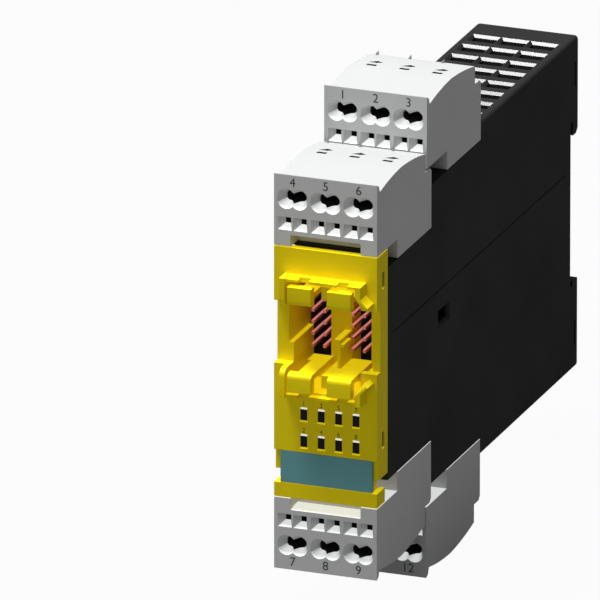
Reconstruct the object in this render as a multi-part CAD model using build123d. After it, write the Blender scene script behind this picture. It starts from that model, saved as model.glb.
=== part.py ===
from build123d import *
import os

# A rail-mounted safety expansion module, 22.5 mm wide, in millimetres.
# The origin is the middle of the face that the rail seats on, +Z is up and the front looks along -Y.

# Module as a whole
module_width = 22.5
front_to_rail = 115.0
front_y = -front_to_rail
slide_gap = 0.2
running_gap = 0.3
pole_count = 3
pole_pitch = 7.2

# Terminal blocks: size of one block and the places of the two levels
block_depth = 31.8
block_front_height = 15.5
block_rear_height = 19.6
block_step_depth = 12.0
first_level_edge = 42.9
level_rise = 9.5
level_setback = 29.15
second_level_edge = first_level_edge + level_rise

# Outline of a block's arched back, as depths and drops from its front edge
lip_depth = 1.0
lip_drop = 0.5
valley_depth = 1.6
valley_drop = 1.85
arch_top_depth = 14.3
arch_top_drop = 0.55
arch_end_depth = 28.3
arch_end_drop = 2.5
shoulder_drop = 6.4
shoulder_chamfer = 0.8
nib_width = 1.5
nib_depth = 1.9

# Wire entries of a block
wire_drop = 5.26
wire_width = 3.8
wire_height = 4.4
wire_spread = 2.8
wire_funnel_depth = 3.2
wire_bore = 2.6
release_drop = 10.6
release_width = 3.05
release_height = 2.85
release_pitch = 3.4
release_funnel_depth = 3.6
release_slot = 1.1
grip_width = 15.3
grip_height = 2.6
grip_depth = 4.3
test_slot_depth = 17.0
test_slot_length = 1.1
test_slot_width = 2.1
marker_depth = 19.9
marker_length = 1.7
marker_width = 2.9

# Chamber, springs and contact bars inside a block
chamber_front = 8.0
chamber_width = 6.2
chamber_roof = 3.6
chamber_floor_wall = 0.8
chamber_front_floor = 14.2
bar_thickness = 0.8
bar_width = 5.0
bar_drop = 7.2
bar_end_depth = 24.0
spring_thickness = 0.4
spring_width = 4.4
spring_drop = 8.8
spring_low_drop = 15.6

# Contact blades that the blocks plug onto
blade_thickness = 0.8
blade_width = 2.0
blade_reach = 5.0
blade_drop = 18.1
strip_depth = 2.4
strip_height = 1.9
strip_cap = 0.1

# Housing
side_wall = 1.2
end_wall = 1.5
vent_wall = 1.6
rear_half_height = 36.5
housing_round = 0.9
seam_height = 8.1
seam_width = 0.25
seam_depth = 0.15
seam_margin = 3.0
snap_window_front = 35.9
snap_window_length = 6.9
snap_window_top = 3.7
snap_window_height = 3.8
snap_window_chamfer = 0.55
pry_slot_width = 0.7
pry_slot_length = 5.6
pry_slot_depth = 0.5
pry_slot_from_back = 1.9
pry_slot_from_end = 5.2

# Vent grille on the top and the bottom
vent_rows = 8
vent_columns = 3
vent_row_pitch = 6.52
vent_column_pitch = 6.4
vent_length = 4.25
vent_width = 6.1
vent_chamfer = 0.57
vent_last_edge = -2.5

# Rail seat and hooks
rail_width = 35.0
rail_lip = 1.0
hook_depth = 5.0
lip_clearance = 0.4
upper_hook_end = 15.4
lower_hook_end = -16.7
hook_taper = 1.7
lower_hook_round = 1.2
upper_undercut = 18.4
lower_undercut = -17.8

# Rail latch
latch_width = 10.0
latch_flange = 1.4
latch_flange_thickness = 1.5
latch_back_inset = 0.2
latch_travel = 3.0
latch_nose_end = -14.9
latch_bottom = -36.0
latch_eye_width = 4.5
latch_eye_height = 2.2
latch_eye_rise = 4.2
spring_coil_radius = 0.9
spring_wire_radius = 0.2
spring_turns = 6
spring_rest_length = 7.0
spring_pocket_top = -21.5
spring_peg_height = 1.2
spring_peg_width = 1.8

# Front cover
cover_depth = 6.2
cover_half_height = 27.2
cover_skin = 1.6
cover_side_wall = 1.0
cover_slot_depth = 3.1
cover_slot_length = 1.3
cover_slot_height = 3.7
cover_slot_tops = (23.1, -11.6)
bay_top = 15.45
bay_bottom = 2.6
bay_setback = 2.0
label_width = 20.0
label_height = 7.0
label_top = -17.0
label_thickness = 1.0
label_shift = 0.15
label_gap = 0.05
notch_top = -21.4
notch_width = 1.3
bar_top = -24.1

# Status windows
window_columns = 4
window_rows = 2
window_width = 1.5
window_height = 2.9
window_pitch = 3.8
window_row_pitch = 5.8
window_centre_x = 0.95
window_top_row = -8.6
window_sill = 0.6
guide_inset = 1.1
guide_fit = 0.1
guide_plate = 1.0

# Plug interfaces and pin headers
header_pitch = 8.7
header_rows = 5
header_columns = 2
pin_pitch = 2.54
pin_width = 0.64
pin_tip = 7.6
pin_length = 7.0
header_centre_z = 8.8
header_body_height = 2.5
shaft_half_width = 3.0
shaft_top = 18.2
shaft_bottom = -0.6
shaft_wall = 0.8
bracket_left = -8.8
bracket_right = 8.75
bracket_top = 21.55
bracket_bar = 1.2
bracket_reach = 3.5
bracket_leg_width = 1.65
bracket_leg_bottom = 16.0
tongue_width = 5.2
tongue_height = 3.2
tongue_top = 20.0
tongue_left_x = -4.35
tongue_right_x = 4.3
ledge_height = 0.7
ledge_reach = 0.8
wing_width = 2.4
wing_height = 3.4
lower_tongue_top = 1.4
lower_tongue_thickness = 1.5
lower_tongue_nose = 4.3
lower_tongue_length = 9.4
lower_bracket_top = 2.5
lower_bracket_bottom = -5.4
lower_cheek_width = 2.4
guide_wall_thickness = 1.3
guide_wall_top = 6.0
rib_thickness = 1.2
rib_top = 6.8

# Circuit boards and what stands on them
board_thickness = 1.6
board_fit = 0.15
front_board_half_height = 20.4
main_board_gap = 2.2
main_board_margin = 1.2
light_size = (1.6, 0.8, 1.6)
connector_size = (5.0, 5.0, 16.0)
processor_size = 12.0
processor_height = 1.4
processor_places = ((-62.0, 12.0), (-62.0, -12.0))
capacitor_radius = 4.0
capacitor_length = 11.5
capacitor_places = ((-38.0, 14.0), (-38.0, 0.0), (-38.0, -14.0))
driver_size = (2.4, 6.5, 6.0)
driver_places = ((-76.0, 18.0), (-76.0, 9.0), (-76.0, -9.0), (-76.0, -18.0))
coil_size = (9.0, 12.0, 12.0)
coil_place = (-18.0, -6.0)

# Worked out from the sizes above
half_width = module_width / 2
cover_back_y = front_y + cover_depth
inner_x = half_width - side_wall
first_half_height = first_level_edge - block_rear_height - slide_gap
second_half_height = second_level_edge - block_rear_height - slide_gap
first_shoulder_y = front_y + block_depth + slide_gap
second_shoulder_y = first_shoulder_y + level_setback
header_base_y = front_y + pin_tip + pin_length
front_board_y = header_base_y + header_body_height
front_board_back_y = front_board_y + board_thickness
main_board_x = board_thickness + board_fit - inner_x
pole_xs = [(i - (pole_count - 1) / 2) * pole_pitch for i in range(pole_count)]
header_xs = [-header_pitch / 2, header_pitch / 2]


def cuboid(x, y, z):
    """A box from three (low, high) pairs."""
    size = Box(x[1] - x[0], y[1] - y[0], z[1] - z[0])
    return Pos((x[0] + x[1]) / 2, (y[0] + y[1]) / 2, (z[0] + z[1]) / 2) * size


def slab(outline, x):
    """A side outline of (y, z) points or a sketch, extruded between two x values."""
    face = make_face(Polyline(*outline, close=True)) if isinstance(outline, list) else outline
    return extrude(Plane.YZ.offset(x[0]) * face, amount=x[1] - x[0])


def funnel(mouth_x, mouth_z, hole_x, hole_z, y, depth):
    """A tapering rectangular entry that opens towards the front."""
    mouth = Plane.XZ.offset(-y) * Rectangle(mouth_x, mouth_z)
    hole = Plane.XZ.offset(-(y + depth)) * Rectangle(hole_x, hole_z)
    return loft([mouth, hole])


def mirrored_outline(points):
    """An outline whose lower half mirrors the upper half that is given."""
    return points + [(y, -z) for y, z in reversed(points)]


# Housing


def housing_outline(wall, rear_y):
    """The stepped upper half of the housing's side outline, drawn in by a wall."""
    return [
        (cover_back_y, first_half_height - wall),
        (first_shoulder_y + wall, first_half_height - wall),
        (first_shoulder_y + wall, second_half_height - wall),
        (second_shoulder_y + wall, second_half_height - wall),
        (second_shoulder_y + wall, rear_half_height - max(wall, vent_wall if wall else 0)),
        (rear_y, rear_half_height - max(wall, vent_wall if wall else 0)),
    ]


def rail_recess():
    """The space that the rail and its lip take at the back."""
    lip_y = rail_lip + lip_clearance
    corner_middle = lower_hook_round * (1 - 0.5 ** 0.5)
    round_start = (hook_depth - lower_hook_round, lower_hook_end)
    round_middle = (hook_depth - corner_middle, lower_hook_end - corner_middle)
    round_end = (hook_depth, lower_hook_end - lower_hook_round)
    rounded_corner = ThreePointArc(round_start, round_middle, round_end)
    rest = Polyline(
        round_end,
        (hook_depth + 1, lower_hook_end - lower_hook_round),
        (hook_depth + 1, upper_hook_end + hook_taper),
        (hook_depth, upper_hook_end + hook_taper),
        (hook_depth - hook_taper, upper_hook_end),
        (lip_y, upper_hook_end),
        (lip_y, upper_undercut),
        (0, upper_undercut),
        (0, lower_undercut),
        (lip_y, lower_undercut),
        (lip_y, lower_hook_end),
        round_start,
    )
    return slab(make_face([rounded_corner, rest]), (-half_width, half_width))


def vent_openings():
    """Funnel-mouthed openings of the upper grille, row by row."""
    hole = Box(vent_width - 2 * vent_chamfer, vent_length - 2 * vent_chamfer, 3 * vent_wall)
    rim_plane = Plane.XY.offset(rear_half_height)
    mouth = rim_plane * Rectangle(vent_width, vent_length)
    throat_size = (vent_width - 2 * vent_chamfer, vent_length - 2 * vent_chamfer)
    throat = rim_plane.offset(-vent_chamfer) * Rectangle(*throat_size)
    opening = loft([throat, mouth]) + Pos(0, 0, rear_half_height) * hole
    openings = []
    for row in range(vent_rows):
        y = vent_last_edge - vent_length / 2 - row * vent_row_pitch
        for column in range(vent_columns):
            x = (column - (vent_columns - 1) / 2) * vent_column_pitch
            openings.append(Pos(x, y, 0) * opening)
    return openings


def latch_channel():
    """The T-shaped channel that the rail latch slides in, with its spring pocket."""
    half = latch_width / 2 + running_gap
    flange_half = half + latch_flange
    flange_front = rail_lip + lip_clearance - running_gap
    flange_back = flange_front + latch_flange_thickness + 2 * running_gap
    bottom = -rear_half_height - 1
    wide = cuboid((-flange_half, flange_half), (flange_front, flange_back), (bottom, lower_hook_end + 1))
    narrow = cuboid((-half, half), (flange_front, hook_depth + 1), (bottom, lower_hook_end + 1))
    return wide + narrow - spring_peg()


def spring_peg():
    """The peg on the channel's floor that the latch spring stands on."""
    top = spring_pocket_top - spring_rest_length
    half = spring_peg_width / 2
    front = rail_lip + lip_clearance
    depth = (front - 1, front + 2 * (spring_coil_radius + spring_wire_radius))
    return cuboid((-half, half), depth, (top - spring_peg_height, top))


def snap_window():
    """A chamfered pocket in a side wall, given for the side at +X."""
    y = front_y + snap_window_front + snap_window_length / 2
    z = snap_window_top - snap_window_height / 2
    wall_plane = Plane(origin=(half_width, y, z), x_dir=(0, 1, 0), z_dir=(1, 0, 0))
    inner = (snap_window_length - 2 * snap_window_chamfer, snap_window_height - 2 * snap_window_chamfer)
    mouth = wall_plane * Rectangle(snap_window_length, snap_window_height)
    throat = wall_plane.offset(-snap_window_chamfer) * Rectangle(*inner)
    deep = Pos(half_width - side_wall / 2, y, z) * Box(side_wall + 0.4, *inner)
    return loft([throat, mouth]) + deep


def housing_side_marks():
    """Seam, snap window and pry slots of both sides."""
    seam_y = (cover_back_y + seam_margin, -seam_margin)
    seam_z = (seam_height - seam_width / 2, seam_height + seam_width / 2)
    seam = cuboid((half_width - seam_depth, half_width + 1), seam_y, seam_z)
    slot_y = (hook_depth - pry_slot_from_back - pry_slot_width, hook_depth - pry_slot_from_back)
    slot_top = rear_half_height - pry_slot_from_end
    slot_x = (half_width - pry_slot_depth, half_width + 1)
    upper_slot = cuboid(slot_x, slot_y, (slot_top - pry_slot_length, slot_top))
    marks = [seam, snap_window(), upper_slot, mirror(upper_slot, Plane.XY)]
    return marks + [mirror(mark, Plane.YZ) for mark in marks]


def blade_openings(z_edge, shoulder_y):
    """Slots in a shoulder wall that the contact blades of one block pass through."""
    z = z_edge - blade_drop
    gap = slide_gap
    slots = []
    for x in pole_xs:
        span = (x - blade_width / 2 - gap / 2, x + blade_width / 2 + gap / 2)
        depth = (shoulder_y - 1, shoulder_y + end_wall + 0.5)
        height = (z - blade_thickness / 2 - gap / 2, z + blade_thickness / 2 + gap / 2)
        slots.append(cuboid(span, depth, height))
    return slots


def make_housing():
    outer = housing_outline(0, hook_depth)
    body = slab(mirrored_outline(outer), (-half_width, half_width))
    rear_edges = body.edges().filter_by(lambda e: e.center().Y > hook_depth - 0.01)
    stage_edges = body.edges().filter_by(Axis.Y).filter_by(lambda e: abs(e.center().Z) > rear_half_height - 0.01)
    body = fillet(stage_edges + rear_edges, housing_round)
    inner = mirrored_outline(housing_outline(end_wall, -end_wall))
    body -= slab(inner, (-inner_x, inner_x))
    body -= rail_recess()
    vents = vent_openings()
    body -= vents + [mirror(vent, Plane.XY) for vent in vents]
    body -= latch_channel()
    body -= housing_side_marks()
    for z_edge, shoulder_y in ((first_level_edge, first_shoulder_y), (second_level_edge, second_shoulder_y)):
        slots = blade_openings(z_edge, shoulder_y)
        body -= slots + [mirror(slot, Plane.XY) for slot in slots]
    return body


# Terminal blocks, drawn as an upper block whose outer front edge is at the origin


def block_outline():
    valley = (valley_depth, -valley_drop)
    arch_top = (arch_top_depth, -arch_top_drop)
    arch_end = (arch_end_depth, -arch_end_drop)
    rise = valley_drop - arch_top_drop
    fall = arch_end_drop - arch_top_drop
    first_middle = ((valley_depth + arch_top_depth) / 2, -arch_top_drop - rise * 0.27)
    second_middle = ((arch_top_depth + arch_end_depth) / 2, -arch_top_drop - fall * 0.33)
    arch = [ThreePointArc(valley, first_middle, arch_top), ThreePointArc(arch_top, second_middle, arch_end)]
    rest = Polyline(
        arch_end,
        (arch_end_depth, -shoulder_drop),
        (block_depth - shoulder_chamfer, -shoulder_drop),
        (block_depth, -shoulder_drop - shoulder_chamfer),
        (block_depth, -block_rear_height),
        (block_step_depth, -block_rear_height),
        (block_step_depth, -block_front_height),
        (0, -block_front_height),
        (0, 0),
        (lip_depth, -lip_drop),
        valley,
    )
    return make_face(arch + [rest])


def wire_entry(x):
    """A double funnel for two wires, side by side."""
    cut = []
    for side in (-1, 1):
        place = Plane.XZ * Pos(x + side * wire_spread / 2, -wire_drop)
        straight = wire_height - wire_width
        mouth = place * SlotCenterToCenter(straight, wire_width, rotation=90)
        throat = place * SlotCenterToCenter(straight, wire_bore, rotation=90)
        cut.append(loft([mouth, Pos(0, wire_funnel_depth, 0) * throat]))
        cut.append(extrude(throat, amount=-(chamber_front + 1)))
    return cut


def release_entry(x):
    """A pair of square funnels that a screwdriver tip goes into."""
    cut = []
    for side in (-1, 1):
        place = Pos(x + side * release_pitch / 2, 0, -release_drop)
        mouth = funnel(release_width, release_height, release_slot, release_slot, 0, release_funnel_depth)
        hole = cuboid(
            (-release_slot / 2, release_slot / 2), (0, chamber_front + 1), (-release_slot / 2, release_slot / 2)
        )
        cut += [place * mouth, place * hole]
    return cut


def pole_chamber(x):
    """The space of one pole, open at the rear where its blade enters."""
    span = (x - chamber_width / 2, x + chamber_width / 2)
    floor = -(block_rear_height - chamber_floor_wall)
    step_y = block_step_depth + chamber_floor_wall
    front = cuboid(span, (chamber_front, step_y), (-chamber_front_floor, -chamber_roof))
    middle = cuboid(span, (step_y, arch_end_depth - 1), (floor, -chamber_roof))
    rear = cuboid(span, (arch_end_depth - 1, block_depth + 1), (floor, -shoulder_drop - 2))
    return front + middle + rear


def test_slots(x):
    """The test slot and the marker notch on the arched face, over one pole."""
    half = test_slot_width / 2
    slot = cuboid(
        (x - half, x + half),
        (test_slot_depth - test_slot_length / 2, test_slot_depth + test_slot_length / 2),
        (-chamber_roof - 1, 1),
    )
    front = marker_depth - marker_length / 2
    back = marker_depth + marker_length / 2
    wing = marker_width / 2
    outline = Polyline(
        (x - wing, front), (x + wing * 0.35, front), (x + wing, (front + back) / 2), (x, back), close=True
    )
    marker = extrude(Plane.XY.offset(-chamber_roof - 1) * make_face(outline), amount=chamber_roof + 2)
    return [slot, marker]


def finger_grip():
    """The recess at the inner edge of a block's front."""
    half = grip_width / 2
    low = -block_front_height - 1
    floor = -block_front_height + grip_height
    recess = cuboid((-half, half), (-1, grip_depth), (low, floor - 0.5))
    ramp = slab([(-1, floor), (grip_depth * 0.6, floor - 0.5), (grip_depth * 0.6, low), (-1, low)], (-half, half))
    return recess + ramp


def rear_nibs():
    """Small upright catches along the rear edge of the arched face."""
    nibs = []
    for x in pole_xs:
        rear = arch_end_depth
        foot = -arch_end_drop - 0.5
        outline = [(rear - nib_depth, foot), (rear, foot), (rear, -arch_end_drop + 1.1)]
        nibs.append(slab(outline, (x + pole_pitch / 2 - nib_width, x + pole_pitch / 2)))
    return nibs


def make_block_housing():
    body = slab(block_outline(), (-half_width, half_width))
    body += rear_nibs()
    cuts = [finger_grip()]
    for x in pole_xs:
        cuts += wire_entry(x) + release_entry(x) + [pole_chamber(x)] + test_slots(x)
    return body - cuts


def make_contact_bars():
    """One bent bar to a pole: a clamping leg under the wires and a leaf over the blade."""
    leaf_z = -blade_drop + blade_thickness / 2 + running_gap
    end = bar_end_depth
    t = bar_thickness
    outline = [
        (chamber_front + 0.4, -bar_drop),
        (end, -bar_drop),
        (end, leaf_z + t),
        (block_depth - 1.2, leaf_z + t),
        (block_depth - 1.2, leaf_z),
        (end - t, leaf_z),
        (end - t, -bar_drop - t),
        (chamber_front + 0.4, -bar_drop - t),
    ]
    return [slab(outline, (x - bar_width / 2, x + bar_width / 2)) for x in pole_xs]


def make_clamp_springs():
    """One looped leaf spring to a pole, under the clamping leg."""
    top = -spring_drop
    low = -spring_low_drop
    rear = bar_end_depth - bar_thickness - spring_thickness
    path = FilletPolyline(
        (chamber_front + 2.0, top),
        (rear, top),
        (rear, low),
        (chamber_front + 6.5, low),
        (chamber_front + 3.2, top - 2.0),
        radius=1.6,
    )
    strip = trace(path, spring_thickness)
    return [slab(strip, (x - spring_width / 2, x + spring_width / 2)) for x in pole_xs]


def make_blades():
    """Flat contact blades that stand out of a shoulder wall, placed like the block they serve."""
    z = (-blade_drop - blade_thickness / 2, -blade_drop + blade_thickness / 2)
    y = (block_depth + slide_gap - blade_reach, block_depth + slide_gap + end_wall + strip_depth)
    return [cuboid((x - blade_width / 2, x + blade_width / 2), y, z) for x in pole_xs]


def make_blade_strip():
    """The plastic strip behind a shoulder wall that carries the blades."""
    front = block_depth + slide_gap + end_wall
    top = -blade_drop + blade_thickness / 2 + strip_cap
    z = (top - strip_height, top)
    strip = cuboid((main_board_x, inner_x - board_fit), (front, front + strip_depth), z)
    return strip - make_blades()


def block_places():
    """Name and placing function of each of the four terminal blocks."""
    first = Pos(0, front_y, first_level_edge)
    second = Pos(0, front_y + level_setback, second_level_edge)
    return {
        "upper_front": lambda shape: first * shape,
        "upper_rear": lambda shape: second * shape,
        "lower_front": lambda shape: mirror(first * shape, Plane.XY),
        "lower_rear": lambda shape: mirror(second * shape, Plane.XY),
    }


# Front cover


def window_places():
    """Centres (x, z) of the status windows."""
    places = []
    for row in range(window_rows):
        for column in range(window_columns):
            x = window_centre_x + (column - (window_columns - 1) / 2) * window_pitch
            places.append((x, window_top_row - row * window_row_pitch))
    return places


def cover_windows():
    """Window cuts with a sloping sill."""
    cuts = []
    for x, z in window_places():
        half = window_width / 2
        low = z - window_height / 2
        high = z + window_height / 2
        outline = [
            (front_y - 1, high),
            (front_y + cover_skin + 1, high),
            (front_y + cover_skin + 1, low + window_sill),
            (front_y + window_sill, low + window_sill),
            (front_y, low),
            (front_y - 1, low),
        ]
        cuts.append(slab(outline, (x - half, x + half)))
    return cuts


def plug_shaft(x):
    """The square shaft that leads from the cover back to one pin header, as (outside, inside)."""
    outer_half = shaft_half_width + shaft_wall
    y = (front_y + bay_setback, header_base_y + 0.6)
    outer = cuboid((x - outer_half, x + outer_half), y, (shaft_bottom - shaft_wall, shaft_top + shaft_wall))
    inside = cuboid(
        (x - shaft_half_width, x + shaft_half_width), (front_y - 5, front_board_y), (shaft_bottom, shaft_top)
    )
    return outer, inside


def upper_bracket():
    """The framed bracket above the cavities, with its two latch tongues."""
    front = front_y - bracket_reach
    back = front_y + cover_skin
    top = bracket_top
    bar = cuboid((bracket_left, bracket_right), (front, back), (top - bracket_bar, top))
    left_leg = cuboid(
        (bracket_left, bracket_left + bracket_leg_width), (front, back), (bracket_leg_bottom, top)
    )
    right_leg = cuboid(
        (bracket_right - bracket_leg_width * 0.75, bracket_right), (front, back), (bracket_leg_bottom - 0.8, top)
    )
    parts = [bar, left_leg, right_leg]
    for x, width in ((-6.6, 2.2), (-1.0, 6.6), (6.4, 2.2)):
        ledge_z = (top - bracket_bar - 0.1, top - bracket_bar + ledge_height)
        parts.append(cuboid((x - width / 2, x + width / 2), (front - ledge_reach, front), ledge_z))
    wing = [
        (bracket_right, bracket_leg_bottom + 1.2),
        (bracket_right + wing_width, bracket_leg_bottom - 1.4),
        (bracket_right + wing_width - 0.7, bracket_leg_bottom - 2.4),
        (bracket_right - 0.9, bracket_leg_bottom - 0.8),
    ]
    wing_face = Plane.XZ.offset(-front) * make_face(Polyline(*wing, close=True))
    parts.append(extrude(wing_face, amount=-(bracket_reach + cover_skin)))
    return parts


def latch_tongue(x):
    """A springy tongue with a rounded nose, hanging from the bracket's bar."""
    front = front_y - bracket_reach
    low = tongue_top - tongue_height
    y = (front, front_y + cover_skin)
    body = cuboid((x - tongue_width / 2, x + tongue_width / 2), y, (low, tongue_top))
    nose = body.edges().filter_by(Axis.X).filter_by(
        lambda e: abs(e.center().Y - front) < 0.01 and abs(e.center().Z - low) < 0.01
    )
    body = fillet(nose, 1.2)
    root = cuboid((x - tongue_width / 4, x + tongue_width / 4), y, (tongue_top, bracket_top - bracket_bar))
    return body + root


def lower_bracket():
    """The bracket below the cavities, with two long tongues that run back into them."""
    parts = []
    front = front_y - lower_tongue_nose
    low = lower_tongue_top - lower_tongue_thickness
    for x in (tongue_left_x, tongue_right_x):
        span = (x - tongue_width / 2, x + tongue_width / 2)
        plate = cuboid(span, (front, front_y + lower_tongue_length), (low, lower_tongue_top))
        lip = cuboid(span, (front, front + 1.4), (lower_tongue_top - tongue_height, lower_tongue_top))
        tongue = plate + lip
        nose = tongue.edges().filter_by(Axis.X).filter_by(
            lambda e: abs(e.center().Y - front) < 0.01 and abs(e.center().Z - lower_tongue_top) < 0.01
        )
        parts.append(fillet(nose, 1.0))
        neck_y = (front_y, front_y + cover_skin)
        parts.append(cuboid(span, neck_y, (shaft_bottom - shaft_wall, low)))
    left = (-half_width + 0.05, -half_width + lower_cheek_width)
    right = (half_width - 1.9, half_width - 0.9)
    cheek_z = (lower_bracket_bottom + 1.2, lower_bracket_top)
    parts.append(cuboid(left, (front + 0.5, front_y + cover_skin), cheek_z))
    parts.append(cuboid(right, (front + 1.2, front_y + cover_skin), cheek_z))
    base = cuboid(
        (left[0], right[1]), (front + 1.8, front_y + cover_skin), (lower_bracket_bottom, lower_bracket_bottom + 1.4)
    )
    middle = cuboid((-1.2, 1.1), (front + 1.0, front_y + lower_tongue_length), (low - 2.0, lower_tongue_top))
    return parts + [base, middle]


def guide_walls():
    """Upright guides beside and between the two cavities."""
    y = (front_y + bay_setback, header_base_y)
    left_x = header_xs[0] - shaft_half_width - shaft_wall
    left = cuboid((left_x, left_x + guide_wall_thickness), y, (shaft_bottom, guide_wall_top))
    middle = cuboid((-0.9, -0.9 + rib_thickness), (front_y + 4.0, header_base_y), (shaft_bottom, rib_top))
    return [left, middle]


def make_front_cover():
    body = cuboid((-half_width, half_width), (front_y, cover_back_y), (-cover_half_height, cover_half_height))
    hollow_x = half_width - cover_side_wall
    hollow_z = cover_half_height - cover_side_wall
    bay_skin_y = front_y + bay_setback + cover_skin
    body -= cuboid((-hollow_x, hollow_x), (bay_skin_y, cover_back_y), (-hollow_z, hollow_z))
    upper_z = (bay_top + cover_skin, hollow_z)
    lower_z = (label_top + cover_side_wall, bay_bottom - cover_skin)
    for z in (upper_z, lower_z):
        body -= cuboid((-hollow_x, hollow_x), (front_y + cover_skin, bay_skin_y), z)
    body -= cuboid((-half_width, half_width), (front_y, front_y + bay_setback), (bay_bottom, bay_top))
    shafts = [plug_shaft(x) for x in header_xs]
    for outside, inside in shafts:
        body += outside
    body += upper_bracket() + [latch_tongue(x) for x in (tongue_left_x, tongue_right_x)]
    for outside, inside in shafts:
        body -= inside
    body += lower_bracket() + guide_walls()
    body -= cover_windows()
    label_x = (label_shift - label_width / 2, label_shift + label_width / 2)
    body -= cuboid(
        (-half_width, half_width), (front_y, front_y + label_thickness), (label_top - label_height, label_top)
    )
    for side in (-1, 1):
        edges = sorted((side * half_width, side * (half_width - notch_width)))
        body -= cuboid(edges, (front_y, cover_back_y), (bar_top, notch_top))
        slot_edges = sorted((side * half_width, side * (half_width - cover_side_wall)))
        for top in cover_slot_tops:
            slot_y = (front_y + cover_slot_depth, front_y + cover_slot_depth + cover_slot_length)
            body -= cuboid(slot_edges, slot_y, (top - cover_slot_height, top))
    return body


def make_label_plate():
    x = (label_shift - label_width / 2, label_shift + label_width / 2)
    z = (label_top - label_height + label_gap, label_top - label_gap)
    return cuboid(x, (front_y, front_y + label_thickness), z)


def make_light_guide():
    """Eight prongs on one plate, each reaching into a status window."""
    back = front_board_y - light_size[1]
    parts = []
    for x, z in window_places():
        half = window_width / 2 - guide_fit
        half_z = window_height / 2 - guide_fit - window_sill / 2
        z_mid = z + window_sill / 2
        parts.append(cuboid((x - half, x + half), (front_y + guide_inset, back), (z_mid - half_z, z_mid + half_z)))
    xs = [x for x, z in window_places()]
    zs = [z for x, z in window_places()]
    plate_y = (back - 2 * guide_plate, back - guide_plate)
    plate = cuboid((min(xs) - 1.5, max(xs) + 1.5), plate_y, (min(zs) - 2.0, max(zs) + 2.0))
    for part in parts:
        plate += part
    return plate


# Boards, headers and what they carry


def make_header_body(x):
    columns = header_columns * pin_pitch
    rows = header_rows * pin_pitch
    y = (header_base_y, front_board_y)
    body = cuboid(
        (x - columns / 2, x + columns / 2), y, (header_centre_z - rows / 2, header_centre_z + rows / 2)
    )
    return body - make_header_pins(x)


def make_header_pins(x):
    pins = []
    for row in range(header_rows):
        z = header_centre_z + (row - (header_rows - 1) / 2) * pin_pitch
        for column in range(header_columns):
            pin_x = x + (column - (header_columns - 1) / 2) * pin_pitch
            half = pin_width / 2
            y = (front_y + pin_tip, front_board_y)
            pins.append(cuboid((pin_x - half, pin_x + half), y, (z - half, z + half)))
    return pins


def make_front_board():
    edge = inner_x - board_fit
    z = (-front_board_half_height, front_board_half_height)
    return cuboid((-edge, edge), (front_board_y, front_board_back_y), z)


def make_status_lights():
    width, depth, height = light_size
    lights = []
    for x, z in window_places():
        z_mid = z + window_sill / 2
        y = (front_board_y - depth, front_board_y)
        lights.append(cuboid((x - width / 2, x + width / 2), y, (z_mid - height / 2, z_mid + height / 2)))
    return lights


def make_board_connector():
    x = (main_board_x, main_board_x + connector_size[0])
    y = (front_board_back_y, front_board_back_y + connector_size[1])
    return cuboid(x, y, (-connector_size[2] / 2, connector_size[2] / 2))


def make_main_board():
    margin = end_wall + main_board_margin
    front = front_board_back_y + main_board_gap
    rear = -end_wall - main_board_margin
    upper = [
        (front, first_half_height - margin),
        (first_shoulder_y + margin, first_half_height - margin),
        (first_shoulder_y + margin, second_half_height - margin),
        (second_shoulder_y + end_wall + strip_depth, second_half_height - margin),
        (second_shoulder_y + end_wall + strip_depth, rear_half_height - vent_wall - main_board_margin),
        (rear, rear_half_height - vent_wall - main_board_margin),
    ]
    return slab(mirrored_outline(upper), (main_board_x - board_thickness, main_board_x))


def make_processors():
    x = (main_board_x, main_board_x + processor_height)
    half = processor_size / 2
    return [cuboid(x, (y - half, y + half), (z - half, z + half)) for y, z in processor_places]


def make_capacitors():
    can = Rot(0, 90, 0) * Cylinder(capacitor_radius, capacitor_length)
    can = fillet(can.edges(), 0.6)
    return [Pos(main_board_x + capacitor_length / 2, y, z) * can for y, z in capacitor_places]


def make_output_drivers():
    dx, dy, dz = driver_size
    x = (main_board_x, main_board_x + dx)
    return [cuboid(x, (y - dy / 2, y + dy / 2), (z - dz / 2, z + dz / 2)) for y, z in driver_places]


def make_supply_coil():
    dx, dy, dz = coil_size
    y, z = coil_place
    x = (main_board_x, main_board_x + dx)
    body = cuboid(x, (y - dy / 2, y + dy / 2), (z - dz / 2, z + dz / 2))
    return chamfer(body.edges().filter_by(Axis.X), 2.0)


# Rail latch


def latch_depths():
    """Front and back of the latch and the back of its flanges."""
    front = rail_lip + lip_clearance
    return front, front + latch_flange_thickness, hook_depth - latch_back_inset


def make_rail_latch():
    front, flange_back, back = latch_depths()
    half = latch_width / 2
    body = cuboid((-half, half), (front, back), (latch_bottom, lower_hook_end - 1))
    nose = [
        (front, lower_hook_end - 1),
        (front, latch_nose_end),
        (front + 0.6, latch_nose_end),
        (back, lower_hook_end - 1),
    ]
    body += slab(nose, (-half, half))
    flange_half = half + latch_flange
    body += cuboid((-flange_half, flange_half), (front, flange_back), (latch_bottom, lower_hook_end - 2))
    pocket_half = spring_coil_radius + spring_wire_radius + running_gap
    pocket_low = spring_pocket_top - spring_rest_length - spring_peg_height - running_gap
    pocket_y = (front - 1, front + 2 * (spring_coil_radius + spring_wire_radius) + 2 * running_gap)
    body -= cuboid((-pocket_half, pocket_half), pocket_y, (pocket_low, spring_pocket_top))
    eye_low = latch_bottom + latch_eye_rise - latch_eye_height
    eye_x = (-latch_eye_width / 2, latch_eye_width / 2)
    body -= cuboid(eye_x, (front - 1, back + 1), (eye_low, eye_low + latch_eye_height))
    return body


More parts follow.
